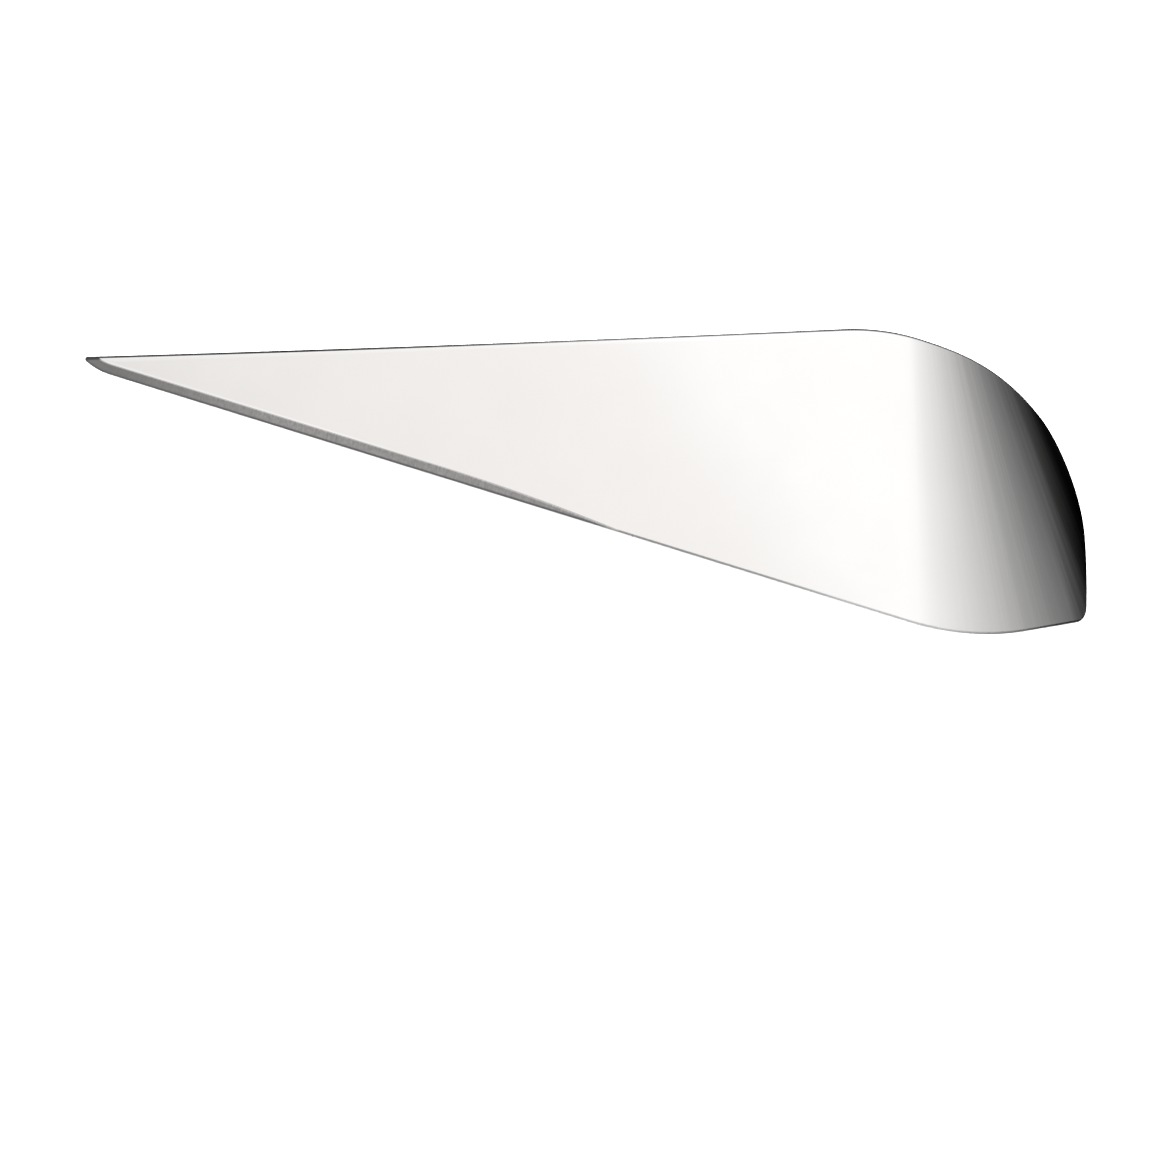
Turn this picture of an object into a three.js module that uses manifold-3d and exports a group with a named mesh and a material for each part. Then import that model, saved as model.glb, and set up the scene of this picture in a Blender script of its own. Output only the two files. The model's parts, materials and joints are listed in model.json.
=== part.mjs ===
// Cheese knife made from one steel sheet: a flat triangular blade with a ground cutting edge,
// whose wide end is rolled round a cone to make a curled handle.
// Millimetres, +Z up. The knife lies on its nose and on the end of its curl, outer side up.
import * as THREE from 'three';
import { mergeVertices } from 'three/addons/utils/BufferGeometryUtils.js';
import Module from 'manifold-3d';

// The sheet
const SHEET_THICKNESS = 1.6;
const ARRIS_RADIUS = 0.45;

// The flat blank. X runs from the nose along the knife, Y towards the spine. Its outline is a
// chain of straight sides, and each corner between two sides is rounded by an arc.
const SPINE_LENGTH = 160.7;
const SPINE_RISE_DEG = 2.1;
const SPINE_HOLLOW = 0.3;
const SHOULDER_LENGTH = 27.2;
const SHOULDER_FALL_DEG = 17.4;
const BACK_LENGTH = 31.9;
const BACK_FALL_DEG = 31.8;
const END_LENGTH = 34.1;
const END_LEAN_DEG = 10.8;
const LOWER_END_LENGTH = 30;
const LOWER_END_RISE_DEG = 8;
const BELLY_LENGTH = 4.2;
const BELLY_FALL_DEG = 41;

// Radii at the corners of the blank
const NOSE_RADIUS = 0.5;
const SHOULDER_RADIUS = 44;
const BACK_RADIUS = 121;
const END_RADIUS = 23.7;
const END_CORNER_RADIUS = 4;
const HEEL_RADIUS = 56;
const BELLY_RADIUS = 12.5;

// The ground edge, alike on both sides of the sheet. The grinding wheel lifts off gently after
// the full-width stretch, so the ground band narrows to nothing over the run-out.
const GRIND_WIDTH = 2.1;
const CUTTING_EDGE_THICKNESS = 0.2;
const GRIND_FULL_LENGTH = 70.7;
const GRIND_RUNOUT_LENGTH = 41;

// The curl: the sheet leaves the flat at the bend line and wraps a cone that touches it there.
const BEND_LINE = 164.2;
const CONE_APEX_HEIGHT = 50.6;
const CONE_HALF_ANGLE_DEG = 26;

// Fineness of the faceted surface
const ARC_SEGMENTS = 7;
const ARRIS_SEGMENTS = 3;
const BELLY_STEPS = 6;
const RUNOUT_STEPS = 16;
const CURL_STEP_DEG = 2;

// How far the grinding tool reaches past the steel that it cuts
const TOOL_CLEARANCE = 1;
const TOOL_LEAD_IN = 4;

// Points closer to a line than this count as lying on it
const SNAP = 0.01;
const WELD = 1e-4;

const UP = new THREE.Vector3(0, 0, 1);

const wasm = await Module();
wasm.setup();

// Outline of the blank

function onward(from, degrees, length) {
  const angle = THREE.MathUtils.degToRad(degrees);
  return new THREE.Vector2(from.x + length * Math.cos(angle), from.y + length * Math.sin(angle));
}

// Corners of the blank, clockwise from the nose, each with the radius of its arc
function blankCorners() {
  const nose = new THREE.Vector2(0, 0);
  const shoulder = onward(nose, SPINE_RISE_DEG, SPINE_LENGTH);
  const back = onward(shoulder, -SHOULDER_FALL_DEG, SHOULDER_LENGTH);
  const end = onward(back, -BACK_FALL_DEG, BACK_LENGTH);
  const endCorner = onward(end, -90 - END_LEAN_DEG, END_LENGTH);
  const heel = onward(endCorner, 180 + LOWER_END_RISE_DEG, LOWER_END_LENGTH);
  const belly = onward(nose, -BELLY_FALL_DEG, BELLY_LENGTH);
  return [
    { at: nose, radius: NOSE_RADIUS },
    { at: shoulder, radius: SHOULDER_RADIUS },
    { at: back, radius: BACK_RADIUS },
    { at: end, radius: END_RADIUS },
    { at: endCorner, radius: END_CORNER_RADIUS },
    { at: heel, radius: HEEL_RADIUS },
    { at: belly, radius: BELLY_RADIUS },
  ];
}

// An arc takes the same reach off both sides of its corner. Where two arcs would need more than
// the side between them, both give way alike.
function roundCorners(corners) {
  const count = corners.length;
  const wanted = corners.map(({ at, radius }, i) => {
    const back = corners[(i + count - 1) % count].at.clone().sub(at).normalize();
    const ahead = corners[(i + 1) % count].at.clone().sub(at);
    const side = ahead.length();
    ahead.normalize();
    const half = Math.acos(back.dot(ahead)) / 2;
    return { at, back, ahead, side, half, reach: radius / Math.tan(half), share: 1 };
  });
  wanted.forEach((arc, i) => {
    const next = wanted[(i + 1) % count];
    const share = Math.min(1, arc.side / (arc.reach + next.reach));
    arc.share = Math.min(arc.share, share);
    next.share = Math.min(next.share, share);
  });
  return wanted.map(({ at, back, ahead, half, reach, share }) => {
    const radius = reach * share * Math.tan(half);
    const bisector = back.clone().add(ahead).normalize();
    const centre = at.clone().addScaledVector(bisector, radius / Math.sin(half));
    const start = at.clone().addScaledVector(back, reach * share);
    const finish = at.clone().addScaledVector(ahead, reach * share);
    const startAngle = start.clone().sub(centre).angle();
    const finishAngle = finish.clone().sub(centre).angle();
    return { centre, radius, start, finish, startAngle, finishAngle };
  });
}

// The spine is very slightly hollow, so that side is a shallow curve instead of a line.
function blankShape(arcs) {
  const shape = new THREE.Shape();
  arcs.forEach(({ centre, radius, start, startAngle, finishAngle }, i) => {
    const isShoulder = i === 1;
    if (isShoulder) {
      const from = arcs[0].finish;
      const along = start.clone().sub(from);
      const inward = new THREE.Vector2(along.y, -along.x).normalize();
      const pull = from.clone().addScaledVector(along, 0.5).addScaledVector(inward, 2 * SPINE_HOLLOW);
      shape.quadraticCurveTo(pull.x, pull.y, start.x, start.y);
    }
    shape.absarc(centre.x, centre.y, radius, startAngle, finishAngle, true);
  });
  return shape;
}

// The blank with its rounded arrises, centred on Z = 0
function blankGeometry(shape) {
  const geometry = new THREE.ExtrudeGeometry(shape, {
    depth: SHEET_THICKNESS - 2 * ARRIS_RADIUS,
    curveSegments: ARC_SEGMENTS,
    bevelThickness: ARRIS_RADIUS,
    bevelSize: ARRIS_RADIUS,
    bevelOffset: -ARRIS_RADIUS,
    bevelSegments: ARRIS_SEGMENTS,
  });
  geometry.deleteAttribute('normal');
  geometry.deleteAttribute('uv');
  return mergeVertices(geometry.translate(0, 0, ARRIS_RADIUS - SHEET_THICKNESS / 2), WELD);
}

// Ground edge

// Width of the ground band at a distance from the nose. Past the run-out it is below zero,
// where the tool is clear of the steel.
function grindWidth(x) {
  const lift = Math.max(0, (x - GRIND_FULL_LENGTH) / GRIND_RUNOUT_LENGTH);
  return GRIND_WIDTH * (1 - lift * lift);
}

// Stations of the tool along the cutting edge: from clear of the nose, round the belly, along the
// straight edge and off it past the run-out. Each has the way into the steel, square to the edge.
function grindStations(arcs) {
  const belly = arcs.at(-1);
  const edge = arcs.at(-2).finish.clone().sub(belly.start).normalize();
  const edgeInward = new THREE.Vector2(-edge.y, edge.x);
  const stations = [];
  for (let i = 0; i < BELLY_STEPS; i++) {
    const angle = THREE.MathUtils.lerp(belly.finishAngle, belly.startAngle, (i + 0.5) / BELLY_STEPS);
    const outward = new THREE.Vector2(Math.cos(angle), Math.sin(angle));
    const at = belly.centre.clone().addScaledVector(outward, belly.radius);
    stations.push({ at, inward: outward.negate() });
  }
  const [first] = stations;
  const backwards = new THREE.Vector2(-first.inward.y, first.inward.x);
  const leadIn = first.at.clone().addScaledVector(backwards, TOOL_LEAD_IN);
  stations.unshift({ at: leadIn, inward: first.inward });
  const liftOff = GRIND_RUNOUT_LENGTH * Math.sqrt(1 + TOOL_CLEARANCE / GRIND_WIDTH);
  for (let i = 0; i <= RUNOUT_STEPS; i++) {
    const x = GRIND_FULL_LENGTH + (liftOff * i) / RUNOUT_STEPS;
    const at = belly.start.clone().addScaledVector(edge, (x - belly.start.x) / edge.x);
    stations.push({ at, inward: edgeInward });
  }
  return stations;
}

// The steel that grinding takes off one face: a wedge that follows the cutting edge. Its sloping
// side runs from the face, one grind width in, down to half the cutting edge's thickness.
function grindTool(stations, face) {
  const half = SHEET_THICKNESS / 2;
  const slope = (half - CUTTING_EDGE_THICKNESS / 2) / GRIND_WIDTH;
  const points = stations.flatMap(({ at, inward }) => {
    const width = grindWidth(at.x);
    const section = [
      [-TOOL_CLEARANCE, half - (width + TOOL_CLEARANCE) * slope],
      [width + TOOL_CLEARANCE / slope, half + TOOL_CLEARANCE],
      [-TOOL_CLEARANCE, half + TOOL_CLEARANCE],
    ];
    return section.map(([into, height]) => {
      const { x, y } = at.clone().addScaledVector(inward, into);
      return new THREE.Vector3(x, y, face * height);
    });
  });
  const last = points.length - 3;
  const triangles = [[2, 1, 0], [last, last + 1, last + 2]];
  for (let ring = 0; ring < last; ring += 3) {
    for (let i = 0; i < 3; i++) {
      const a = ring + i;
      const b = ring + ((i + 1) % 3);
      triangles.push([a, b, b + 3], [a, b + 3, a + 3]);
    }
  }
  return { points, triangles: face > 0 ? triangles : triangles.map((corner) => corner.reverse()) };
}

// Solids as lists of points and triangles

function fromGeometry(geometry) {
  const positions = geometry.getAttribute('position');
  const points = Array.from({ length: positions.count }, (_, i) => {
    return new THREE.Vector3().fromBufferAttribute(positions, i);
  });
  return { points, triangles: triples(geometry.getIndex().array) };
}

function triples(list) {
  return Array.from({ length: list.length / 3 }, (_, i) => Array.from(list.slice(3 * i, 3 * i + 3)));
}

function toManifold({ points, triangles }) {
  const vertProperties = new Float32Array(points.flatMap((point) => point.toArray()));
  const triVerts = new Uint32Array(triangles.flat());
  return new wasm.Manifold(new wasm.Mesh({ numProp: 3, vertProperties, triVerts }));
}

function fromManifold(manifold) {
  const mesh = manifold.getMesh();
  const points = triples(mesh.vertProperties).map((point) => new THREE.Vector3(...point));
  return { points, triangles: triples(mesh.triVerts) };
}

function toGeometry({ points, triangles }) {
  const geometry = new THREE.BufferGeometry().setFromPoints(points);
  geometry.setIndex(triangles.flat());
  geometry.computeVertexNormals();
  return geometry;
}

// Cuts every triangle of a solid in two where it crosses a plane
function cutAlong({ points, triangles }, plane) {
  const cutPoints = points.slice();
  const side = points.map((point) => {
    const distance = plane.distanceToPoint(point);
    return Math.abs(distance) < SNAP ? 0 : distance;
  });
  const crossings = new Map();
  const crossing = (a, b) => {
    const [low, high] = a < b ? [a, b] : [b, a];
    const key = `${low} ${high}`;
    if (!crossings.has(key)) {
      const share = side[low] / (side[low] - side[high]);
      crossings.set(key, cutPoints.push(points[low].clone().lerp(points[high], share)) - 1);
    }
    return crossings.get(key);
  };
  const cutTriangles = triangles.flatMap((corners) => {
    const above = [];
    const below = [];
    corners.forEach((from, i) => {
      const to = corners[(i + 1) % 3];
      if (side[from] >= 0) above.push(from);
      if (side[from] <= 0) below.push(from);
      if (side[from] * side[to] < 0) {
        const between = crossing(from, to);
        above.push(between);
        below.push(between);
      }
    });
    return [above, below].flatMap((loop) => {
      return loop.slice(2).map((corner, i) => [loop[0], loop[i + 1], corner]);
    });
  });
  return { points: cutPoints, triangles: cutTriangles };
}

// Curl

// Angle, seen from the cone's apex, between the bend line and a point of the flat blank
function curlAngle({ x, y }) {
  return Math.atan2(x - BEND_LINE, CONE_APEX_HEIGHT - y);
}

// Rolls a point of the flat blank onto the cone. Lines through the apex stay straight and keep
// their length, and the sheet keeps its thickness.
function curlPoint(point) {
  const angle = curlAngle(point);
  if (angle <= 0) return point.clone();
  const half = THREE.MathUtils.degToRad(CONE_HALF_ANGLE_DEG);
  const sin = Math.sin(half);
  const cos = Math.cos(half);
  const turn = angle / sin;
  const lift = 1 - Math.cos(turn);
  const line = new THREE.Vector3(sin * Math.sin(turn), sin * sin * lift - 1, -sin * cos * lift);
  const normal = new THREE.Vector3(cos * Math.sin(turn), sin * cos * lift, 1 - cos * cos * lift);
  const length = Math.hypot(point.x - BEND_LINE, CONE_APEX_HEIGHT - point.y);
  const apex = new THREE.Vector3(BEND_LINE, CONE_APEX_HEIGHT, 0);
  return apex.addScaledVector(line, length).addScaledVector(normal, point.z);
}

// The blank is first cut along evenly spread lines through the apex, which then become the
// straight lines of the cone.
function curlBlank(blank) {
  const furthest = Math.max(...blank.points.map(curlAngle));
  const steps = Math.ceil(furthest / THREE.MathUtils.degToRad(CURL_STEP_DEG));
  const apex = new THREE.Vector3(BEND_LINE, CONE_APEX_HEIGHT, 0);
  let sheet = blank;
  for (let i = 0; i < steps; i++) {
    const angle = (furthest * i) / steps;
    const across = new THREE.Vector3(Math.cos(angle), Math.sin(angle), 0);
    sheet = cutAlong(sheet, new THREE.Plane().setFromNormalAndCoplanarPoint(across, apex));
  }
  return { points: sheet.points.map(curlPoint), triangles: sheet.triangles };
}

// Pose at rest

function centreOfMass({ points, triangles }) {
  const sum = new THREE.Vector3();
  let total = 0;
  for (const [a, b, c] of triangles.map((corners) => corners.map((i) => points[i]))) {
    const volume = a.dot(new THREE.Vector3().crossVectors(b, c));
    sum.addScaledVector(a, volume).addScaledVector(b, volume).addScaledVector(c, volume);
    total += volume;
  }
  return sum.divideScalar(4 * total);
}

function standsOver(contacts, { x, y }) {
  const turns = contacts.map((a, i) => {
    const b = contacts[(i + 1) % 3];
    return (b.x - a.x) * (y - a.y) - (b.y - a.y) * (x - a.x);
  });
  return turns.every((turn) => turn >= 0);
}

// The plane that the knife comes to rest on: through three contacts round the centre of mass,
// with no other point below it. It starts far up on three points far out, and takes in the
// lowest point again and again.
function restingPlane(points, centre) {
  const far = 100 * SPINE_LENGTH;
  let contacts = [0, 120, 240].map((degrees) => {
    const { x, y } = onward(centre, degrees, far);
    return new THREE.Vector3(x, y, far);
  });
  for (;;) {
    const plane = new THREE.Plane().setFromCoplanarPoints(...contacts);
    const heights = points.map((point) => plane.distanceToPoint(point));
    const lowest = heights.indexOf(Math.min(...heights));
    if (heights[lowest] > -WELD) return plane;
    const trials = contacts.map((_, i) => contacts.with(i, points[lowest]));
    contacts = trials.find((trial) => standsOver(trial, centre));
  }
}

// Leans the knife onto its contacts, with no twist about the upright. Leaning moves the centre of
// mass over other contacts, and lowers it, so this is repeated until the contacts stay the same.
function restRotation({ points, triangles }) {
  const rotation = new THREE.Quaternion();
  for (;;) {
    const leaning = points.map((point) => point.clone().applyQuaternion(rotation));
    const { normal } = restingPlane(leaning, centreOfMass({ points: leaning, triangles }));
    if (normal.distanceTo(UP) < WELD) return rotation;
    rotation.setFromUnitVectors(normal.applyQuaternion(rotation.clone().invert()), UP);
  }
}

// The knife

function knifeBody() {
  const arcs = roundCorners(blankCorners());
  const stations = grindStations(arcs);
  const blank = toManifold(fromGeometry(blankGeometry(blankShape(arcs))));
  const ground = [1, -1].reduce((steel, face) => {
    return steel.subtract(toManifold(grindTool(stations, face)));
  }, blank);
  const body = curlBlank(fromManifold(ground));
  const polished = new THREE.MeshStandardMaterial({ color: 0xe4e2df, roughness: 0.12, metalness: 1 });
  const mesh = new THREE.Mesh(toGeometry(body), polished);
  mesh.name = 'knife_body';
  mesh.quaternion.copy(restRotation(body));
  const box = new THREE.Box3().setFromObject(mesh, true);
  const centre = box.getCenter(new THREE.Vector3());
  mesh.position.set(-centre.x, -centre.y, -box.min.z);
  return mesh;
}

const knife = new THREE.Group();
knife.add(knifeBody());

export default knife;
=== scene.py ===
import json
import math

import bpy
from mathutils import Matrix, Vector


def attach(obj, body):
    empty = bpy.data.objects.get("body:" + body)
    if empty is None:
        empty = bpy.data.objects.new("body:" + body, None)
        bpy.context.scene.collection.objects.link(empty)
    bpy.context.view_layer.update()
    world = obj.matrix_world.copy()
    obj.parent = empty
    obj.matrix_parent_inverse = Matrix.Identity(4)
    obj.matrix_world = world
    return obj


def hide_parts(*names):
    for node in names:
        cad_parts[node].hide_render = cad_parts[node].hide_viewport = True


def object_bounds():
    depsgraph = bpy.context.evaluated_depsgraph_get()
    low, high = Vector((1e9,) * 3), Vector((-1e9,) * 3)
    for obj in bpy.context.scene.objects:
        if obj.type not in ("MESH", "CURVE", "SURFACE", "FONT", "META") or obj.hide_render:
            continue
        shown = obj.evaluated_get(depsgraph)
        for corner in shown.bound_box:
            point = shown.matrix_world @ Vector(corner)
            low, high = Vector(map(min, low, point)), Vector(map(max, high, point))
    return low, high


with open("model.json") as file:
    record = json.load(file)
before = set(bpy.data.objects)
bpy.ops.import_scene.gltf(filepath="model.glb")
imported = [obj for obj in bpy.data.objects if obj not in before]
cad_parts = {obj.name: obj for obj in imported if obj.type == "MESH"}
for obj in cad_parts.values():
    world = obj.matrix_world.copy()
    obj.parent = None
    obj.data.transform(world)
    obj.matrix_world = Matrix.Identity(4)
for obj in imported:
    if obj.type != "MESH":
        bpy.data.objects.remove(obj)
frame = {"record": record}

cad_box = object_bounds()

MM = 0.001
DEG = math.pi / 180
UP = Vector((0, 0, 1))

# The sheet
SHEET_THICKNESS = 1.6 * MM
ARRIS_RADIUS = 0.45 * MM
ARRIS_SEGMENTS = 5

# The flat blank: X runs from the nose along the knife, Y towards the spine
SPINE_LENGTH = 160.7 * MM
SPINE_RISE = 2.1 * DEG
SPINE_HOLLOW = 0.3 * MM
SHOULDER_LENGTH = 27.2 * MM
SHOULDER_FALL = 17.4 * DEG
BACK_LENGTH = 31.9 * MM
BACK_FALL = 31.8 * DEG
END_LENGTH = 34.1 * MM
END_LEAN = 10.8 * DEG
LOWER_END_LENGTH = 30 * MM
LOWER_END_RISE = 8 * DEG
BELLY_LENGTH = 4.2 * MM
BELLY_FALL = 41 * DEG

# Radii at the corners of the blank
NOSE_RADIUS = 0.5 * MM
SHOULDER_RADIUS = 44 * MM
BACK_RADIUS = 121 * MM
END_RADIUS = 23.7 * MM
END_CORNER_RADIUS = 4 * MM
HEEL_RADIUS = 56 * MM
BELLY_RADIUS = 12.5 * MM

# The ground edge, alike on both sides, which narrows to nothing over the run-out
GRIND_WIDTH = 2.1 * MM
CUTTING_EDGE_THICKNESS = 0.2 * MM
GRIND_FULL_LENGTH = 70.7 * MM
GRIND_RUNOUT_LENGTH = 41 * MM
TOOL_CLEARANCE = 1 * MM
TOOL_LEAD_IN = 4 * MM
TOOL_BELLY_STEPS = 24
TOOL_RUNOUT_STEPS = 40

# The curl: the sheet leaves the flat at the bend line and wraps a cone that touches it there
BEND_LINE = 164.2 * MM
CONE_APEX_HEIGHT = 50.6 * MM
CONE_HALF_ANGLE = 26 * DEG
CURL_STEP = 0.5 * DEG

# Fineness of the outline and of the flat
ARC_STEP = 2 * DEG
FEWEST_ARC_STEPS = 4
SHORTEST_STEP = 0.15 * MM
SPINE_STEPS = 24
FLAT_STEP = 6 * MM
WELD = 0.002 * MM

# Sides that meet at more than this angle get an arris. Faces with normals this upright are the flats.
ARRIS_ANGLE = 60 * DEG
UPRIGHT = 0.999

# The camera looks square on the flat of the blade
VIEW_CENTRE = Vector((100.85, -45.66, 0.8)) * MM
VIEW_WIDTH = 234 * MM
VIEW_DISTANCE = 900 * MM
SENSOR_WIDTH = 36

POLISHED, GROUND, RIM = range(3)

# Finishes. Lines, breaks and clouds are counted per metre of the sheet. A pair of values runs from
# where an effect begins to where it is full, or from the lowest to the highest.

# Noise textures that the finishes share
NOISE_MIDDLE = (0.3, 0.7)
LINE_DETAIL = 3.0
LINE_ROUGHNESS = 0.6
HAZE_DETAIL = 4.0

# Mirror polish, with belt lines along the blade and roll streaks, per radian, along the cone's lines
MIRROR_DARKER = (0.905, 0.895, 0.885, 1.0)
MIRROR_LIGHTER = (0.92, 0.912, 0.905, 1.0)
MIRROR_CLOUDS = 55.0
MIRROR_HAZE = (0.035, 0.06)
MIRROR_HAZE_CLOUDS = 140.0
BELT_LINES = 5200.0
BELT_BREAKS = 60.0
BELT_ROUGHNESS = 0.015
BELT_HEIGHT = 0.003
ROLL_STREAKS = 14.0
ROLL_STREAK_DETAIL = 3.0
ROLL_STREAK_HEIGHT = 1.2
ROLL_STREAK_FULL_TURN = 30 * DEG
MIRROR_BUMP = 0.02 * MM
MIRROR_BUMP_STRENGTH = 1.0

# A highlight painted along the border of the polish, under the spine and beside the ground band, where the
# rounded edges reflect bright
PAINTED_BORDER_HIGHLIGHT = (1.0, 1.0, 1.0, 1.0)
BORDER_HIGHLIGHT_BESIDE_BAND = (GRIND_WIDTH + 0.5 * MM, GRIND_WIDTH + 0.1 * MM)
BORDER_HIGHLIGHT_UNDER_SPINE = (1.5 * MM, 0.6 * MM)
BORDER_HIGHLIGHT_NEAR_NOSE = (GRIND_FULL_LENGTH, 0.7 * GRIND_FULL_LENGTH)

# Ground satin. Across the band, 0 is at the cutting edge and 1 at the flat.
GRIND_LINES = 4200.0
GRIND_BREAKS = 500.0
GRIND_LINE_TURN = 106 * DEG
GRIND_LINE_SHARE = 0.55
GRIND_SPECKLE = 1500.0
SATIN_DARKER = (0.335, 0.327, 0.322, 1.0)
SATIN_LIGHTER = (0.575, 0.563, 0.555, 1.0)
SATIN_ROUGHNESS = (0.30, 0.44)
SATIN_BUMP = 0.012 * MM
SATIN_BUMP_STRENGTH = 0.6
# Shade painted along the cutting edge, rising as the band runs out
PAINTED_EDGE_SHADE = (0.20, 0.20, 0.21, 1.0)
EDGE_SHADE_ACROSS = (0.26, 0.14)
# A highlight painted along the band's border with the flat, where its rounded edge reflects bright. The
# border is also smoother.
PAINTED_BAND_HIGHLIGHT = (0.90, 0.90, 0.90, 1.0)
SMOOTH_HIGHLIT_BORDER_FROM = 0.86
SMOOTH_HIGHLIT_BORDER_FULL = 0.95
SMOOTH_HIGHLIT_BORDER_WIDER_AT_RUNOUT = 0.15
HIGHLIT_BORDER_SMOOTHER = 0.18
NOSE_TONE = (0.24, 0.236, 0.232, 1.0)
NOSE_TONE_ALONG = (38 * MM, 6 * MM)
NOSE_TONE_SHARE = 0.72
# Shade painted in the corner where the ground band meets the spine near the nose
PAINTED_SPINE_SHADE = (0.10, 0.10, 0.10, 1.0)
SPINE_SHADE_GAP = (0.85 * MM, 0.55 * MM)

# Tumbled rim, and the light and shade painted along its length, from the nose to well into the curl
RIM_LINES = 6000.0
RIM_BREAKS = 180.0
RIM_LINE_SHARE = 0.4
RIM_DENTS = 900.0
RIM_WEAR = (0.12, 0.12, 0.12, 1.0)
RIM_ROUGHNESS = (0.22, 0.36)
RIM_BUMP = 0.008 * MM
RIM_BUMP_STRENGTH = 0.5
RIM_LENGTH = 200 * MM
SPINE_RIM_GAP = (3 * MM, 1 * MM)
LOWER_RIM_PAINTED_LIGHT = ((0.20, 0.22), (0.45, 0.52), (0.68, 0.62), (0.77, 0.95), (0.87, 0.90), (0.93, 0.50),
             (0.98, 0.36))
SPINE_RIM_PAINTED_LIGHT = ((0.04, 0.32), (0.15, 0.30), (0.22, 0.20), (0.32, 0.36), (0.42, 0.65), (0.51, 1.0),
             (0.66, 1.0), (0.72, 0.85), (0.77, 0.60), (0.82, 0.85))

# Walls of the studio, by degrees down from straight above the blade, and brightness
BRIGHTEST = 1.1
FRONT_WALL = ((12, 1.0), (35, 0.78), (60, 0.62), (90, 0.70), (120, 0.55))
SPINE_WALL = ((12, 0.80), (28, 0.34), (55, 0.20), (90, 0.10), (130, 0.05))
HANDLE_WALL = ((12, 0.95), (22, 0.825), (35, 0.68), (50, 0.515), (65, 0.335), (80, 0.205), (95, 0.115),
               (110, 0.047), (125, 0.006))

# Where the walls begin and are full, by directions of length 1 seen from the blade: X past the
# handle, Y past the spine and Z straight up
HANDLE_WALL_X = (0.05, 0.35)
HANDLE_WALL_Y = (-0.40, -0.18)
SPINE_WALL_X = (-0.50, -0.15)
SPINE_WALL_Y = (0.25, 0.45)
NOSE_LIGHT_X = (-0.35, -0.80)
NOSE_LIGHT = 1.4

# Upright strip lights low down, counted from the way that the cutting edge faces
EDGE_AZIMUTH = -107.4 * DEG
STRIP_LIGHTS = 6
STRIP_CONTRAST = 0.3
STRIP_LIGHTS_FALL = (45, 75)

# The ceiling shades off across a slanting line
CEILING_SLANT = 0.667
CEILING_SPREAD = (-0.08, 0.08)
CEILING = ((0.0, (0.76, 0.75, 0.745)), (0.25, (0.84, 0.825, 0.808)), (0.75, (0.905, 0.89, 0.875)),
           (0.88, (1.0, 1.0, 1.0)))

# A black card low down past the lower end of the curl
CARD_X_SLOPE = -0.5
CARD_Z_SLOPE = 0.334
CARD_EDGE = (-0.33, -0.376)
CARD_X = (0.55, 0.75)
CARD_Z = (0.30, 0.08)
BLACK = (0.0, 0.0, 0.0, 1.0)
WHITE = (1.0, 1.0, 1.0, 1.0)

# The floor and the lamp over it, in metres and watts
FLOOR_SIZE = 8.0
FLOOR_COLOUR = (0.9, 0.9, 0.9, 1.0)
FLOOR_ROUGHNESS = 0.9
FLOOR_SPECULAR = 0.1
SOFTBOX_HEIGHT = 1.5
SOFTBOX_SIZE = 2.5
SOFTBOX_POWER = 150.0


# Node helpers

def add_node(tree, kind, **settings):
    node = tree.nodes.new(kind)
    for name, value in settings.items():
        setattr(node, name, value)
    return node


def feed(tree, source, target):
    if hasattr(source, "is_output"):
        tree.links.new(source, target)
    else:
        target.default_value = source


def math_node(tree, operation, *values):
    node = add_node(tree, "ShaderNodeMath", operation=operation)
    for value, socket in zip(values, node.inputs):
        feed(tree, value, socket)
    return node.outputs[0]


def split_xyz(tree, vector):
    node = add_node(tree, "ShaderNodeSeparateXYZ")
    tree.links.new(vector, node.inputs[0])
    return node.outputs


def map_range(tree, value, low, high, to_low=0.0, to_high=1.0, smooth=False):
    node = add_node(tree, "ShaderNodeMapRange")
    node.interpolation_type = "SMOOTHSTEP" if smooth else "LINEAR"
    for name, given in (("Value", value), ("From Min", low), ("From Max", high),
                        ("To Min", to_low), ("To Max", to_high)):
        feed(tree, given, node.inputs[name])
    return node.outputs["Result"]


def both(tree, first, second):
    """Where two masks hold at once."""
    return math_node(tree, "MULTIPLY", first, second)


def blend_of(tree, first, second, first_share):
    rest = math_node(tree, "MULTIPLY", second, 1 - first_share)
    return math_node(tree, "MULTIPLY_ADD", first, first_share, rest)


def ramp(tree, value, stops):
    node = add_node(tree, "ShaderNodeValToRGB")
    elements = node.color_ramp.elements
    while len(elements) < len(stops):
        elements.new(1.0)
    for element, (place, level) in zip(elements, stops):
        element.position = place
        element.color = (*level, 1.0) if hasattr(level, "__len__") else (level, level, level, 1.0)
    feed(tree, value, node.inputs["Fac"])
    return node.outputs["Color"]


def mix_colour(tree, factor, first, second, blend="MIX"):
    node = add_node(tree, "ShaderNodeMix", data_type="RGBA", blend_type=blend)
    feed(tree, factor, node.inputs["Factor"])
    first_socket, second_socket = [s for s in node.inputs if s.type == "RGBA"]
    feed(tree, first, first_socket)
    feed(tree, second, second_socket)
    return next(s for s in node.outputs if s.type == "RGBA")


# Effects that the finishes share

def new_group(name, inputs, outputs):
    group = bpy.data.node_groups.new(name, "ShaderNodeTree")
    for socket_name, kind in inputs:
        group.interface.new_socket(name=socket_name, in_out="INPUT", socket_type=kind)
    for socket_name in outputs:
        group.interface.new_socket(name=socket_name, in_out="OUTPUT", socket_type="NodeSocketFloat")
    return group, add_node(group, "NodeGroupInput"), add_node(group, "NodeGroupOutput")


def full_range(tree, noise):
    """The middle of a noise texture's values, where nearly all of them lie, stretched to 0 and 1."""
    return map_range(tree, noise.outputs["Fac"], *NOISE_MIDDLE)


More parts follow.
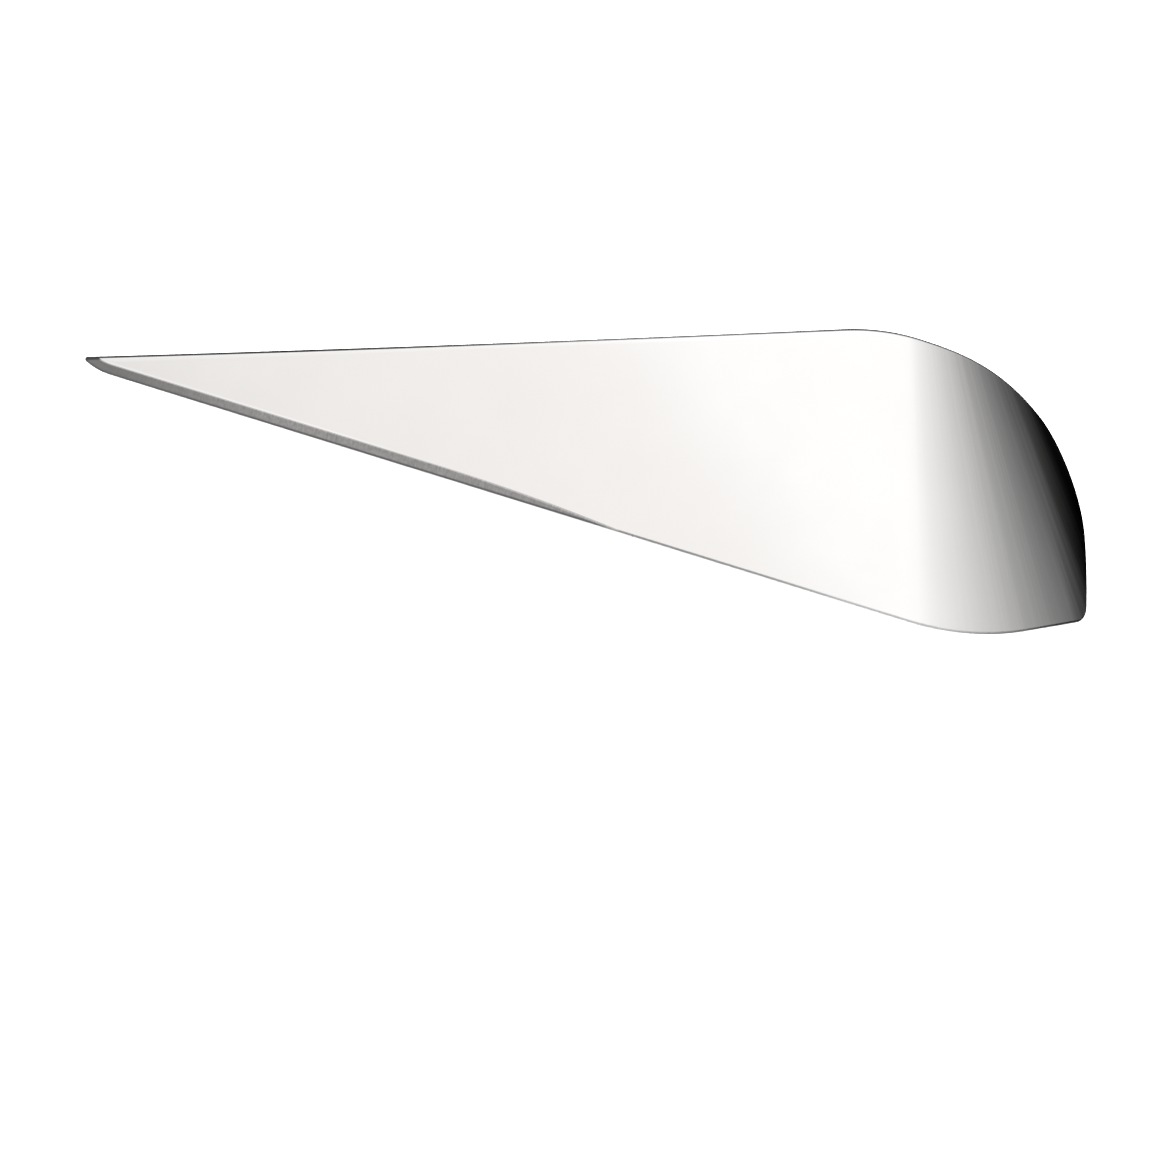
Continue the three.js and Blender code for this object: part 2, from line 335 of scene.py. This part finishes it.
def fine_lines_group():
    """Hair-fine straight lines left by an abrasive belt, from 0 to 1."""
    group, given, result = new_group("fine_lines", (
        ("Place", "NodeSocketVector"),
        ("Turn", "NodeSocketFloat"),
        ("Lines per Metre", "NodeSocketFloat"),
        ("Breaks per Metre", "NodeSocketFloat"),
    ), ["Lines"])
    turned = add_node(group, "ShaderNodeVectorRotate", rotation_type="Z_AXIS")
    group.links.new(given.outputs["Place"], turned.inputs["Vector"])
    group.links.new(given.outputs["Turn"], turned.inputs["Angle"])
    scale = add_node(group, "ShaderNodeCombineXYZ")
    group.links.new(given.outputs["Breaks per Metre"], scale.inputs["X"])
    group.links.new(given.outputs["Lines per Metre"], scale.inputs["Y"])
    group.links.new(given.outputs["Breaks per Metre"], scale.inputs["Z"])
    stretched = add_node(group, "ShaderNodeVectorMath", operation="MULTIPLY")
    group.links.new(turned.outputs["Vector"], stretched.inputs[0])
    group.links.new(scale.outputs["Vector"], stretched.inputs[1])
    noise = add_node(group, "ShaderNodeTexNoise")
    noise.inputs["Scale"].default_value = 1.0
    noise.inputs["Detail"].default_value = LINE_DETAIL
    noise.inputs["Roughness"].default_value = LINE_ROUGHNESS
    group.links.new(stretched.outputs["Vector"], noise.inputs["Vector"])
    group.links.new(full_range(group, noise), result.inputs["Lines"])
    return group


def cloudy_haze_group():
    """Slow, cloudy unevenness of a worked surface, from 0 to 1."""
    group, given, result = new_group("cloudy_haze", (
        ("Place", "NodeSocketVector"),
        ("Clouds per Metre", "NodeSocketFloat"),
    ), ["Haze"])
    noise = add_node(group, "ShaderNodeTexNoise")
    noise.inputs["Detail"].default_value = HAZE_DETAIL
    group.links.new(given.outputs["Place"], noise.inputs["Vector"])
    group.links.new(given.outputs["Clouds per Metre"], noise.inputs["Scale"])
    group.links.new(full_range(group, noise), result.inputs["Haze"])
    return group


def gap_from_line(tree, place, start, finish):
    """How far a place on the sheet lies to the right of a line across it, seen from its start."""
    across = (finish - start).cross(UP).normalized()
    ahead = add_node(tree, "ShaderNodeVectorMath", operation="DOT_PRODUCT")
    tree.links.new(place, ahead.inputs[0])
    ahead.inputs[1].default_value = across
    return math_node(tree, "SUBTRACT", ahead.outputs["Value"], across.dot(start))


def sheet_gaps_group():
    """How far a place lies from the spine and the cutting edge, and how far the band has run out there."""
    (nose, _), (shoulder, _), *_, (heel, _), (belly, _) = blank_corners()
    group, given, result = new_group("sheet_gaps", (("Place", "NodeSocketVector"),),
                                     ["From Spine", "From Edge", "Run-out"])
    place = given.outputs["Place"]
    along = split_xyz(group, place)["X"]
    run_out = map_range(group, along, GRIND_FULL_LENGTH, GRIND_FULL_LENGTH + GRIND_RUNOUT_LENGTH)
    group.links.new(gap_from_line(group, place, nose, shoulder), result.inputs["From Spine"])
    group.links.new(gap_from_line(group, place, heel, belly), result.inputs["From Edge"])
    group.links.new(run_out, result.inputs["Run-out"])
    return group


def use_group(tree, group, **values):
    node = add_node(tree, "ShaderNodeGroup", node_tree=group)
    for name, value in values.items():
        feed(tree, value, node.inputs[name.replace("_", " ")])
    return node.outputs[0] if len(node.outputs) == 1 else node.outputs


# Finishes

def new_material(name):
    material = bpy.data.materials.new(name)
    material.use_nodes = True
    tree = material.node_tree
    shader = tree.nodes["Principled BSDF"]
    shader.inputs["Metallic"].default_value = 1.0
    place = add_node(tree, "ShaderNodeAttribute", attribute_name="sheet_place").outputs["Vector"]
    return material, tree, shader, place


def bumped(tree, shader, height, distance, strength):
    bump = add_node(tree, "ShaderNodeBump")
    bump.inputs["Distance"].default_value = distance
    bump.inputs["Strength"].default_value = strength
    tree.links.new(height, bump.inputs["Height"])
    tree.links.new(bump.outputs["Normal"], shader.inputs["Normal"])


def border_highlight_mask(tree, place, gaps):
    """Where a highlight is painted on the polish, along the spine and beside the ground band."""
    beside_band = map_range(tree, gaps["From Edge"], *BORDER_HIGHLIGHT_BESIDE_BAND)
    near_nose = map_range(tree, split_xyz(tree, place)["X"], *BORDER_HIGHLIGHT_NEAR_NOSE)
    under_spine = map_range(tree, gaps["From Spine"], *BORDER_HIGHLIGHT_UNDER_SPINE)
    return math_node(tree, "MAXIMUM", both(tree, beside_band, near_nose), under_spine)


def roll_streaks(tree):
    """Streaks along the lines of the cone, which come up where the curl begins."""
    turn = add_node(tree, "ShaderNodeAttribute", attribute_name="curl_turn").outputs["Fac"]
    noise = add_node(tree, "ShaderNodeTexNoise", noise_dimensions="1D")
    noise.inputs["Scale"].default_value = ROLL_STREAKS
    noise.inputs["Detail"].default_value = ROLL_STREAK_DETAIL
    tree.links.new(turn, noise.inputs["W"])
    rolled = map_range(tree, turn, 0.0, ROLL_STREAK_FULL_TURN, 0.0, ROLL_STREAK_HEIGHT, smooth=True)
    return math_node(tree, "MULTIPLY", noise.outputs["Fac"], rolled)


def mirror_polish(fine_lines, cloudy_haze, sheet_gaps):
    """Mirror polish with a cloudy tone, faint belt lines, roll streaks and a painted highlight along its
    border.
    """
    material, tree, shader, place = new_material("mirror_polish")
    clouds = use_group(tree, cloudy_haze, Place=place, Clouds_per_Metre=MIRROR_CLOUDS)
    colour = mix_colour(tree, clouds, MIRROR_DARKER, MIRROR_LIGHTER)
    # A highlight painted along the border of the polish
    border = border_highlight_mask(tree, place, use_group(tree, sheet_gaps, Place=place))
    colour = mix_colour(tree, border, colour, PAINTED_BORDER_HIGHLIGHT)
    tree.links.new(colour, shader.inputs["Base Color"])
    lines = use_group(tree, fine_lines, Place=place, Turn=0.0,
                      Lines_per_Metre=BELT_LINES, Breaks_per_Metre=BELT_BREAKS)
    haze = use_group(tree, cloudy_haze, Place=place, Clouds_per_Metre=MIRROR_HAZE_CLOUDS)
    haze = map_range(tree, haze, 0.0, 1.0, *MIRROR_HAZE)
    roughness = math_node(tree, "MULTIPLY_ADD", lines, BELT_ROUGHNESS, haze)
    tree.links.new(roughness, shader.inputs["Roughness"])
    height = math_node(tree, "MULTIPLY_ADD", lines, BELT_HEIGHT, roll_streaks(tree))
    bumped(tree, shader, height, MIRROR_BUMP, MIRROR_BUMP_STRENGTH)
    return material


def ground_satin(fine_lines, cloudy_haze, sheet_gaps):
    """Satin of the grinding wheel: lines across the band, a smoother border with a painted highlight, and
    painted shade along the cutting edge and in the spine corner.
    """
    material, tree, shader, place = new_material("ground_satin")
    lines = use_group(tree, fine_lines, Place=place, Turn=GRIND_LINE_TURN,
                      Lines_per_Metre=GRIND_LINES, Breaks_per_Metre=GRIND_BREAKS)
    speckle = use_group(tree, cloudy_haze, Place=place, Clouds_per_Metre=GRIND_SPECKLE)
    grain = blend_of(tree, lines, speckle, GRIND_LINE_SHARE)
    x, _, z = split_xyz(tree, place)
    from_middle = math_node(tree, "ABSOLUTE", z)
    across = map_range(tree, from_middle, CUTTING_EDGE_THICKNESS / 2, SHEET_THICKNESS / 2)
    gaps = use_group(tree, sheet_gaps, Place=place)
    # Shade painted along the cutting edge, higher up where the band runs out
    rising_edge = math_node(tree, "POWER", gaps["Run-out"], 2.0)
    edge_shade = map_range(tree, math_node(tree, "SUBTRACT", across, rising_edge), *EDGE_SHADE_ACROSS)
    # Highlight painted along the band's border with the flat, which is smoother there too
    wider = math_node(tree, "MULTIPLY", gaps["Run-out"], SMOOTH_HIGHLIT_BORDER_WIDER_AT_RUNOUT)
    highlit_border_start = math_node(tree, "SUBTRACT", SMOOTH_HIGHLIT_BORDER_FROM, wider)
    smooth_highlit_border = map_range(tree, across, highlit_border_start, SMOOTH_HIGHLIT_BORDER_FULL)
    # Shade painted in the corner where the ground band meets the spine near the nose
    spine_shade = map_range(tree, gaps["From Spine"], *SPINE_SHADE_GAP)
    at_nose = map_range(tree, x, *NOSE_TONE_ALONG, 0.0, NOSE_TONE_SHARE)
    colour = mix_colour(tree, grain, SATIN_DARKER, SATIN_LIGHTER)
    for share, tone in ((at_nose, NOSE_TONE), (edge_shade, PAINTED_EDGE_SHADE), (smooth_highlit_border, PAINTED_BAND_HIGHLIGHT),
                        (spine_shade, PAINTED_SPINE_SHADE)):
        colour = mix_colour(tree, share, colour, tone)
    tree.links.new(colour, shader.inputs["Base Color"])
    satin = map_range(tree, grain, 0.0, 1.0, *SATIN_ROUGHNESS)
    smoother = math_node(tree, "MULTIPLY", smooth_highlit_border, HIGHLIT_BORDER_SMOOTHER)
    tree.links.new(math_node(tree, "SUBTRACT", satin, smoother), shader.inputs["Roughness"])
    bumped(tree, shader, grain, SATIN_BUMP, SATIN_BUMP_STRENGTH)
    return material


def tumbled_rim(fine_lines, cloudy_haze, sheet_gaps):
    """The cut rim of the sheet, tumbled to a low sheen, with drag lines, dents, and light and shade
    painted along its length.
    """
    material, tree, shader, place = new_material("tumbled_rim")
    lines = use_group(tree, fine_lines, Place=place, Turn=0.0,
                      Lines_per_Metre=RIM_LINES, Breaks_per_Metre=RIM_BREAKS)
    dents = use_group(tree, cloudy_haze, Place=place, Clouds_per_Metre=RIM_DENTS)
    wear = blend_of(tree, lines, dents, RIM_LINE_SHARE)
    along = map_range(tree, split_xyz(tree, place)["X"], 0.0, RIM_LENGTH)
    gaps = use_group(tree, sheet_gaps, Place=place)
    on_spine = map_range(tree, gaps["From Spine"], *SPINE_RIM_GAP)
    # Light and shade painted along the rim, one run for the spine and one for the lower edge
    painted_rim_light = mix_colour(tree, on_spine, ramp(tree, along, LOWER_RIM_PAINTED_LIGHT), ramp(tree, along, SPINE_RIM_PAINTED_LIGHT))
    colour = mix_colour(tree, wear, painted_rim_light, RIM_WEAR, "SUBTRACT")
    tree.links.new(colour, shader.inputs["Base Color"])
    tree.links.new(map_range(tree, wear, 0.0, 1.0, *RIM_ROUGHNESS), shader.inputs["Roughness"])
    bumped(tree, shader, wear, RIM_BUMP, RIM_BUMP_STRENGTH)
    return material


# Outline of the blank

def onward(start, angle, length):
    return start + length * Vector((math.cos(angle), math.sin(angle), 0))


def blank_corners():
    """Corners of the blank, clockwise from the nose, each with the radius of its arc."""
    nose = Vector((0, 0, 0))
    shoulder = onward(nose, SPINE_RISE, SPINE_LENGTH)
    back = onward(shoulder, -SHOULDER_FALL, SHOULDER_LENGTH)
    end = onward(back, -BACK_FALL, BACK_LENGTH)
    end_corner = onward(end, -90 * DEG - END_LEAN, END_LENGTH)
    heel = onward(end_corner, 180 * DEG + LOWER_END_RISE, LOWER_END_LENGTH)
    belly = onward(nose, -BELLY_FALL, BELLY_LENGTH)
    return [
        (nose, NOSE_RADIUS),
        (shoulder, SHOULDER_RADIUS),
        (back, BACK_RADIUS),
        (end, END_RADIUS),
        (end_corner, END_CORNER_RADIUS),
        (heel, HEEL_RADIUS),
        (belly, BELLY_RADIUS),
    ]


def rounded(corners):
    """The arc at each corner. Two arcs that need more than the side between them give way alike."""
    arcs = []
    for i, (at, radius) in enumerate(corners):
        back = (corners[i - 1][0] - at).normalized()
        ahead = corners[(i + 1) % len(corners)][0] - at
        half = back.angle(ahead) / 2
        arcs.append({"at": at, "back": back, "ahead": ahead.normalized(), "side": ahead.length,
                     "half": half, "reach": radius / math.tan(half), "share": 1.0})
    for i, arc in enumerate(arcs):
        following = arcs[(i + 1) % len(arcs)]
        share = min(1.0, arc["side"] / (arc["reach"] + following["reach"]))
        arc["share"] = min(arc["share"], share)
        following["share"] = min(following["share"], share)
    for arc in arcs:
        reach = arc["reach"] * arc["share"]
        bisector = (arc["back"] + arc["ahead"]).normalized()
        arc["radius"] = reach * math.tan(arc["half"])
        arc["centre"] = arc["at"] + bisector * arc["radius"] / math.sin(arc["half"])
        arc["start"] = arc["at"] + reach * arc["back"]
        arc["finish"] = arc["at"] + reach * arc["ahead"]
        arc["sweep"] = math.pi - 2 * arc["half"]
    return arcs


# Modelling with Blender's own tools

def start_point(name, place):
    """A new mesh of one point, in edit mode and selected."""
    bpy.ops.object.select_all(action="DESELECT")
    bpy.ops.mesh.primitive_plane_add(size=SHEET_THICKNESS, location=place)
    bpy.ops.object.transform_apply(location=True, rotation=False, scale=False)
    made = bpy.context.object
    made.name = name
    bpy.ops.object.mode_set(mode="EDIT")
    bpy.ops.mesh.select_all(action="SELECT")
    bpy.ops.mesh.merge(type="CENTER")
    return made


def extrude(step):
    bpy.ops.mesh.extrude_region_move(TRANSFORM_OT_translate={"value": step})


def sweep_arc(centre, angle, steps):
    """Sweeps what is selected about an upright axis, clockwise from above for a positive angle."""
    bpy.ops.mesh.spin(steps=steps, angle=angle, center=centre, axis=UP)


def fill_all():
    bpy.ops.mesh.select_all(action="SELECT")
    bpy.ops.mesh.remove_doubles(threshold=WELD)
    bpy.ops.mesh.edge_face_add()


def close_solid():
    bpy.ops.mesh.select_all(action="SELECT")
    bpy.ops.mesh.remove_doubles(threshold=WELD)
    bpy.ops.mesh.normals_make_consistent(inside=False)
    bpy.ops.object.mode_set(mode="OBJECT")


def apply_modifier(piece, kind, **settings):
    modifier = piece.modifiers.new(kind.lower(), kind)
    for name, value in settings.items():
        setattr(modifier, name, value)
    bpy.ops.object.select_all(action="DESELECT")
    piece.select_set(True)
    bpy.context.view_layer.objects.active = piece
    bpy.ops.object.modifier_apply(modifier=modifier.name)


def arc_steps(arc):
    wanted = math.ceil(arc["sweep"] / ARC_STEP)
    fits = math.ceil(arc["sweep"] * arc["radius"] / SHORTEST_STEP)
    return max(FEWEST_ARC_STEPS, min(wanted, fits))


def draw_hollow_spine(start, finish):
    """The spine is very slightly hollow: a shallow arc whose centre lies far outside the blank."""
    chord = finish - start
    radius = chord.length ** 2 / (8 * SPINE_HOLLOW) + SPINE_HOLLOW / 2
    outward = UP.cross(chord).normalized()
    centre = (start + finish) / 2 + outward * (radius - SPINE_HOLLOW)
    sweep_arc(centre, -2 * math.asin(chord.length / 2 / radius), SPINE_STEPS)


def flat_blank(arcs):
    """The blank, drawn round its outline, filled, thickened and given its rounded arrises."""
    piece = start_point("curled_knife", arcs[0]["start"])
    for i, arc in enumerate(arcs):
        sweep_arc(arc["centre"], arc["sweep"], arc_steps(arc))
        target = arcs[(i + 1) % len(arcs)]["start"]
        if i == 0:
            draw_hollow_spine(arc["finish"], target)
        else:
            extrude(target - arc["finish"])
    fill_all()
    bpy.ops.object.mode_set(mode="OBJECT")
    apply_modifier(piece, "SOLIDIFY", thickness=SHEET_THICKNESS, offset=0.0)
    apply_modifier(piece, "BEVEL", width=ARRIS_RADIUS, segments=ARRIS_SEGMENTS, limit_method="ANGLE",
                   angle_limit=ARRIS_ANGLE, use_clamp_overlap=False)
    for polygon in piece.data.polygons:
        polygon.material_index = POLISHED if abs(polygon.normal.z) > UPRIGHT else RIM
    return piece


def grinding_wheel_path(arcs, face):
    """What the wheel takes off one face: a wedge led round the belly, along the edge and gently off it."""
    heel, belly = arcs[-2:]
    edge = (heel["finish"] - belly["start"]).normalized()
    half = SHEET_THICKNESS / 2
    slope = (half - CUTTING_EDGE_THICKNESS / 2) / GRIND_WIDTH
    tangent = belly["ahead"]
    inward = UP.cross(-tangent)
    depth = (GRIND_WIDTH + TOOL_CLEARANCE / slope + TOOL_CLEARANCE) * inward
    height = depth.length * slope * face * UP
    outer_top = belly["finish"] - TOOL_CLEARANCE * inward + (half + TOOL_CLEARANCE) * face * UP
    tool = start_point("grinding_wheel_path", outer_top + TOOL_LEAD_IN * tangent)
    extrude(-height)
    extrude(height + depth)
    fill_all()
    extrude(-TOOL_LEAD_IN * tangent)
    sweep_arc(belly["centre"], -belly["sweep"], TOOL_BELLY_STEPS)
    extrude(edge * (GRIND_FULL_LENGTH - belly["start"].x) / edge.x)
    lift_off = GRIND_RUNOUT_LENGTH * math.sqrt(1 + TOOL_CLEARANCE / GRIND_WIDTH)
    step = lift_off / TOOL_RUNOUT_STEPS
    for i in range(TOOL_RUNOUT_STEPS):
        narrower = GRIND_WIDTH * (2 * i + 1) * (step / GRIND_RUNOUT_LENGTH) ** 2
        extrude(edge * step / edge.x + narrower * slope * face * UP)
    close_solid()
    return tool


def grind(piece, arcs):
    for face in (1, -1):
        tool = grinding_wheel_path(arcs, face)
        for material in piece.data.materials:
            tool.data.materials.append(material)
        for polygon in tool.data.polygons:
            polygon.material_index = GROUND
        apply_modifier(piece, "BOOLEAN", operation="DIFFERENCE", solver="EXACT", object=tool)
        bpy.data.objects.remove(tool)


# Curl

def curl_angle(point):
    return max(0.0, math.atan2(point.x - BEND_LINE, CONE_APEX_HEIGHT - point.y))


def curled(point):
    """A point of the flat blank rolled onto the cone: lines through the apex stay straight."""
    angle = curl_angle(point)
    if angle == 0:
        return point
    sin = math.sin(CONE_HALF_ANGLE)
    cos = math.cos(CONE_HALF_ANGLE)
    turn = angle / sin
    lift = 1 - math.cos(turn)
    line = Vector((sin * math.sin(turn), sin * sin * lift - 1, -sin * cos * lift))
    normal = Vector((cos * math.sin(turn), sin * cos * lift, 1 - cos * cos * lift))
    apex = Vector((BEND_LINE, CONE_APEX_HEIGHT, 0))
    length = math.hypot(point.x - BEND_LINE, CONE_APEX_HEIGHT - point.y)
    return apex + length * line + point.z * normal


def cut_across(place, normal):
    bpy.ops.mesh.select_all(action="SELECT")
    bpy.ops.mesh.bisect(plane_co=place, plane_no=normal)


def cut_into_strips(piece):
    """Cuts across the flat, and along lines through the cone's apex that stay straight in the curl."""
    furthest = max(curl_angle(vertex.co) for vertex in piece.data.vertices)
    bpy.context.view_layer.objects.active = piece
    bpy.ops.object.mode_set(mode="EDIT")
    for i in range(1, math.ceil(BEND_LINE / FLAT_STEP)):
        cut_across((i * FLAT_STEP, 0, 0), (1, 0, 0))
    steps = math.ceil(furthest / CURL_STEP)
    for i in range(steps):
        angle = furthest * i / steps
        cut_across((BEND_LINE, CONE_APEX_HEIGHT, 0), (math.cos(angle), math.sin(angle), 0))
    close_solid()


def remember_sheet(piece):
    """Keeps each point's place in the flat sheet and its turn in the curl, for the finishes."""
    points = [vertex.co.copy() for vertex in piece.data.vertices]
    place = piece.data.attributes.new("sheet_place", "FLOAT_VECTOR", "POINT")
    place.data.foreach_set("vector", [coordinate for point in points for coordinate in point])
    turn = piece.data.attributes.new("curl_turn", "FLOAT", "POINT")
    turn.data.foreach_set("value", [curl_angle(point) / math.sin(CONE_HALF_ANGLE) for point in points])


def curl(piece):
    for vertex in piece.data.vertices:
        vertex.co = curled(vertex.co)


def lay_in_frame(piece):
    """Leans the blade as the frame's flat face does and sets it in the frame's box."""
    mount = next(m for m in frame["record"]["mounts"] if m["name"] == "outer_face")
    lean = UP.rotation_difference(Vector(mount["axis"])).to_matrix().to_4x4()
    piece.data.transform(lean)
    points = [vertex.co for vertex in piece.data.vertices]
    low = Vector([min(coordinates) for coordinates in zip(*points)])
    high = Vector([max(coordinates) for coordinates in zip(*points)])
    shift = (cad_box[0] + cad_box[1] - low - high) / 2
    shift.z = cad_box[0].z - low.z
    piece.data.transform(Matrix.Translation(shift))
    return Matrix.Translation(shift) @ lean


def shade(piece):
    """Smooth all over but crisp round the ground faces, with normals that keep the flats flat."""
    mesh = piece.data
    mesh.shade_smooth()
    finishes = {}
    for polygon in mesh.polygons:
        for key in polygon.edge_keys:
            finishes.setdefault(key, set()).add(polygon.material_index)
    for mesh_edge in mesh.edges:
        meeting = finishes[mesh_edge.key]
        mesh_edge.use_edge_sharp = GROUND in meeting and len(meeting) > 1
    apply_modifier(piece, "WEIGHTED_NORMAL", mode="FACE_AREA", keep_sharp=True)


def cheese_knife():
    arcs = rounded(blank_corners())
    piece = flat_blank(arcs)
    shared = fine_lines_group(), cloudy_haze_group(), sheet_gaps_group()
    for finish in (mirror_polish, ground_satin, tumbled_rim):
        piece.data.materials.append(finish(*shared))
    grind(piece, arcs)
    cut_into_strips(piece)
    remember_sheet(piece)
    curl(piece)
    placement = lay_in_frame(piece)
    shade(piece)
    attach(piece, "root")
    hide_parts("knife_body")
    return placement


# Studio

def add_camera(placement):
    data = bpy.data.cameras.new("camera")
    data.sensor_width = SENSOR_WIDTH
    data.lens = SENSOR_WIDTH * VIEW_DISTANCE / VIEW_WIDTH
    camera = bpy.data.objects.new("camera", data)
    bpy.context.scene.collection.objects.link(camera)
    camera.matrix_world = placement @ Matrix.Translation(VIEW_CENTRE + VIEW_DISTANCE * UP)
    bpy.context.scene.camera = camera


def add_floor():
    bpy.ops.object.select_all(action="DESELECT")
    bpy.ops.mesh.primitive_plane_add(size=FLOOR_SIZE)
    floor = bpy.context.object
    floor.name = "floor"
    material = bpy.data.materials.new("pale_floor")
    material.use_nodes = True
    shader = material.node_tree.nodes["Principled BSDF"]
    shader.inputs["Base Color"].default_value = FLOOR_COLOUR
    shader.inputs["Roughness"].default_value = FLOOR_ROUGHNESS
    shader.inputs["Specular IOR Level"].default_value = FLOOR_SPECULAR
    floor.data.materials.append(material)
    floor.visible_glossy = False


def add_softbox():
    """A broad lamp that faces straight down."""
    data = bpy.data.lights.new("overhead_softbox", "AREA")
    data.size = SOFTBOX_SIZE
    data.energy = SOFTBOX_POWER
    light = bpy.data.objects.new("overhead_softbox", data)
    light.location = SOFTBOX_HEIGHT * UP
    light.rotation_euler = (-UP).to_track_quat("-Z", "Y").to_euler()
    light.visible_glossy = False
    bpy.context.scene.collection.objects.link(light)


def wall(tree, fall, stops):
    """Brightness of one side of the studio, from straight above the blade down to below it."""
    return ramp(tree, fall, [(degrees / 180, level) for degrees, level in stops])


def strip_lights(tree, x, y, fall):
    """Soft upright strips of light and shade, low down all round."""
    turned = math_node(tree, "SUBTRACT", math_node(tree, "ARCTAN2", y, x), EDGE_AZIMUTH)
    wave = math_node(tree, "SINE", math_node(tree, "MULTIPLY", turned, STRIP_LIGHTS))
    start, full = (degrees / 180 for degrees in STRIP_LIGHTS_FALL)
    low_down = map_range(tree, fall, start, full, 0.0, STRIP_CONTRAST, smooth=True)
    return math_node(tree, "MULTIPLY_ADD", wave, low_down, 1.0)


def studio_walls(tree, x, y, fall):
    """The wall in front with its strip lights, and the darker walls past the handle and the spine."""
    past_handle = both(tree, map_range(tree, x, *HANDLE_WALL_X, smooth=True),
                       map_range(tree, y, *HANDLE_WALL_Y, smooth=True))
    past_spine = both(tree, map_range(tree, y, *SPINE_WALL_Y, smooth=True),
                      map_range(tree, x, *SPINE_WALL_X, smooth=True))
    front = wall(tree, fall, FRONT_WALL)
    room = mix_colour(tree, 1.0, front, strip_lights(tree, x, y, fall), "MULTIPLY")
    room = mix_colour(tree, past_handle, room, wall(tree, fall, HANDLE_WALL))
    return mix_colour(tree, past_spine, room, wall(tree, fall, SPINE_WALL))


def black_card(tree, x, y, z):
    """Where the black card hangs, beyond a slanting edge."""
    sideways = math_node(tree, "MULTIPLY_ADD", x, CARD_X_SLOPE, y)
    from_edge = math_node(tree, "MULTIPLY_ADD", z, CARD_Z_SLOPE, sideways)
    beyond_edge = map_range(tree, from_edge, *CARD_EDGE)
    past_handle = map_range(tree, x, *CARD_X)
    low_down = map_range(tree, z, *CARD_Z, smooth=True)
    return both(tree, both(tree, beyond_edge, past_handle), low_down)


def add_studio(placement):
    """A white room for the eye. For the steel, a bright ceiling square to the blade and darker walls."""
    world = bpy.data.worlds.new("studio")
    bpy.context.scene.world = world
    world.use_nodes = True
    tree = world.node_tree
    tree.nodes.clear()
    squared = add_node(tree, "ShaderNodeMapping", vector_type="VECTOR")
    squared.inputs["Rotation"].default_value = placement.to_quaternion().inverted().to_euler()
    tree.links.new(add_node(tree, "ShaderNodeTexCoord").outputs["Generated"], squared.inputs["Vector"])
    x, y, z = split_xyz(tree, squared.outputs["Vector"])
    fall = map_range(tree, math_node(tree, "ARCCOSINE", z), 0.0, math.pi)
    slant = math_node(tree, "MULTIPLY_ADD", y, CEILING_SLANT, x)
    ceiling = ramp(tree, map_range(tree, slant, *CEILING_SPREAD), CEILING)
    nose_light = map_range(tree, x, *NOSE_LIGHT_X, 1.0, NOSE_LIGHT, smooth=True)
    room = mix_colour(tree, 1.0, studio_walls(tree, x, y, fall), ceiling, "MULTIPLY")
    room = mix_colour(tree, 1.0, room, nose_light, "MULTIPLY")
    room = mix_colour(tree, black_card(tree, x, y, z), room, BLACK)
    reflected = add_node(tree, "ShaderNodeBackground")
    reflected.inputs["Strength"].default_value = BRIGHTEST
    tree.links.new(room, reflected.inputs["Color"])
    seen = add_node(tree, "ShaderNodeBackground")
    seen.inputs["Color"].default_value = WHITE
    choice = add_node(tree, "ShaderNodeMixShader")
    tree.links.new(add_node(tree, "ShaderNodeLightPath").outputs["Is Camera Ray"], choice.inputs["Fac"])
    tree.links.new(reflected.outputs[0], choice.inputs[1])
    tree.links.new(seen.outputs[0], choice.inputs[2])
    tree.links.new(choice.outputs[0], add_node(tree, "ShaderNodeOutputWorld").inputs["Surface"])


blade_place = cheese_knife()
add_camera(blade_place)
add_floor()
add_softbox()
add_studio(blade_place)
bpy.context.scene.view_settings.view_transform = "Standard"
